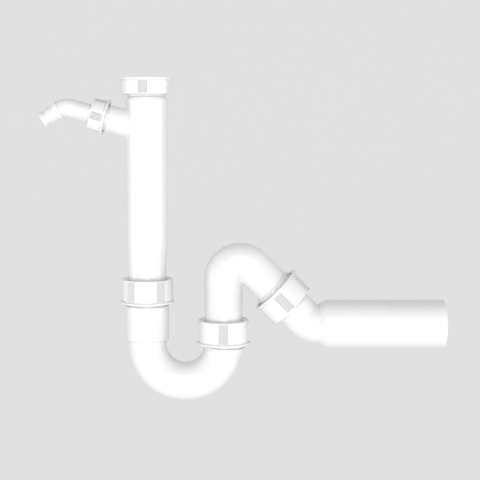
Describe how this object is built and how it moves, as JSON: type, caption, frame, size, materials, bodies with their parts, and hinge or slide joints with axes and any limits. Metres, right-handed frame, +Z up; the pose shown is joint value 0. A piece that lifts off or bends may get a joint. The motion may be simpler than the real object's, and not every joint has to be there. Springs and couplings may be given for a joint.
{
  "type": "p trap",
  "caption": "White plastic tubular p trap: inlet tube with a hose branch, union nuts, a U-shaped trap bend, an outlet bend and a level outlet pipe.",
  "frame": {"origin": "centre of the mouth plane of the inlet union nut", "axes": "+Z up along the inlet tube, +X towards the outlet pipe, XZ the plane of the bends"},
  "size_m": [0.4246, 0.0572, 0.3384],
  "materials": {
    "white_plastic": "gloss",
    "natural_plastic": "satin",
    "black_rubber": "matte"
  },
  "bodies": {
    "inlet": {"inlet_tube": "white_plastic", "inlet_gasket": "black_rubber"},
    "inlet_nut": {"inlet_nut": "white_plastic"},
    "nozzle_gasket": {"nozzle_gasket": "black_rubber"},
    "nozzle_nut": {"nozzle_nut": "white_plastic"},
    "hose_nozzle": {"hose_nozzle": "white_plastic"},
    "trap_inlet_seal": {"trap_inlet_cone_seal": "black_rubber"},
    "trap_bend": {"trap_bend": "white_plastic"},
    "trap_inlet_washer": {"trap_inlet_slip_washer": "natural_plastic"},
    "trap_inlet_nut": {"trap_inlet_nut": "white_plastic"},
    "trap_outlet_washer": {"trap_outlet_slip_washer": "natural_plastic"},
    "trap_outlet_nut": {"trap_outlet_nut": "white_plastic"},
    "trap_outlet_seal": {"trap_outlet_cone_seal": "black_rubber"},
    "hook_bend": {"hook_bend": "white_plastic"},
    "outlet_washer": {"outlet_slip_washer": "natural_plastic"},
    "outlet_nut": {"outlet_nut": "white_plastic"},
    "outlet_seal": {"outlet_cone_seal": "black_rubber"},
    "outlet_elbow": {"outlet_elbow": "white_plastic"}
  },
  "joints": [
    {"name": "inlet_nut_turn", "type": "hinge", "parent": "inlet", "child": "inlet_nut", "pos_m": [0, 0, -0.0085], "axis": [0, 0, 1], "continuous": true},
    {"name": "nozzle_gasket_lift", "type": "slide", "parent": "inlet", "child": "nozzle_gasket", "axis": [-0.9659, 0, 0.2588], "range_m": [0, 0.0076]},
    {"name": "nozzle_nut_turn", "type": "hinge", "parent": "nozzle_gasket", "child": "nozzle_nut", "pos_m": [-0.04926, 0, -0.0396], "axis": [-0.9659, 0, 0.2588], "range_deg": [0, 1080]},
    {"name": "hose_nozzle_swivel", "type": "hinge", "parent": "nozzle_gasket", "child": "hose_nozzle", "pos_m": [-0.05409, 0, -0.03831], "axis": [-0.9659, 0, 0.2588], "continuous": true},
    {"name": "trap_height", "type": "slide", "parent": "inlet", "child": "trap_inlet_seal", "axis": [0, 0, 1], "range_m": [-0.03, 0.0015]},
    {"name": "trap_swivel", "type": "hinge", "parent": "trap_inlet_seal", "child": "trap_bend", "pos_m": [0, 0, -0.216], "axis": [0, 0, 1], "continuous": true},
    {"name": "trap_inlet_washer_lift", "type": "slide", "parent": "trap_bend", "child": "trap_inlet_washer", "axis": [0, 0, 1], "range_m": [0, 0.0101]},
    {"name": "trap_inlet_nut_turn", "type": "hinge", "parent": "trap_inlet_washer", "child": "trap_inlet_nut", "pos_m": [0, 0, -0.2215], "axis": [0, 0, 1], "range_deg": [0, 900]},
    {"name": "trap_outlet_washer_lift", "type": "slide", "parent": "trap_bend", "child": "trap_outlet_washer", "axis": [0, 0, 1], "range_m": [0, 0.0101]},
    {"name": "trap_outlet_nut_turn", "type": "hinge", "parent": "trap_outlet_washer", "child": "trap_outlet_nut", "pos_m": [0.08, 0, -0.2655], "axis": [0, 0, 1], "range_deg": [0, 900]},
    {"name": "outlet_bend_swivel", "type": "hinge", "parent": "trap_bend", "child": "trap_outlet_seal", "pos_m": [0.08, 0, -0.26], "axis": [0, 0, 1], "range_deg": [-125, 125]},
    {"name": "outlet_bend_height", "type": "slide", "parent": "trap_outlet_seal", "child": "hook_bend", "axis": [0, 0, 1], "range_m": [-0.0025, 0.007]},
    {"name": "outlet_washer_lift", "type": "slide", "parent": "hook_bend", "child": "outlet_washer", "axis": [0.7071, 0, -0.7071], "range_m": [0, 0.0101]},
    {"name": "outlet_nut_turn", "type": "hinge", "parent": "outlet_washer", "child": "outlet_nut", "pos_m": [0.1339, 0, -0.2212], "axis": [0.7071, 0, -0.7071], "range_deg": [0, 900]},
    {"name": "outlet_elbow_swivel", "type": "hinge", "parent": "hook_bend", "child": "outlet_seal", "pos_m": [0.1339, 0, -0.2212], "axis": [0.7071, 0, -0.7071], "continuous": true},
    {"name": "outlet_elbow_depth", "type": "slide", "parent": "outlet_seal", "child": "outlet_elbow", "axis": [0.7071, 0, -0.7071], "range_m": [-0.0025, 0.009]}
  ],
  "couplings": [
    {"joint": "nozzle_gasket_lift", "follows": "nozzle_nut_turn", "m_per_rad": 0.00039789},
    {"joint": "trap_inlet_washer_lift", "follows": "trap_inlet_nut_turn", "m_per_rad": 0.00063662},
    {"joint": "trap_outlet_washer_lift", "follows": "trap_outlet_nut_turn", "m_per_rad": 0.00063662},
    {"joint": "outlet_washer_lift", "follows": "outlet_nut_turn", "m_per_rad": 0.00063662}
  ]
}
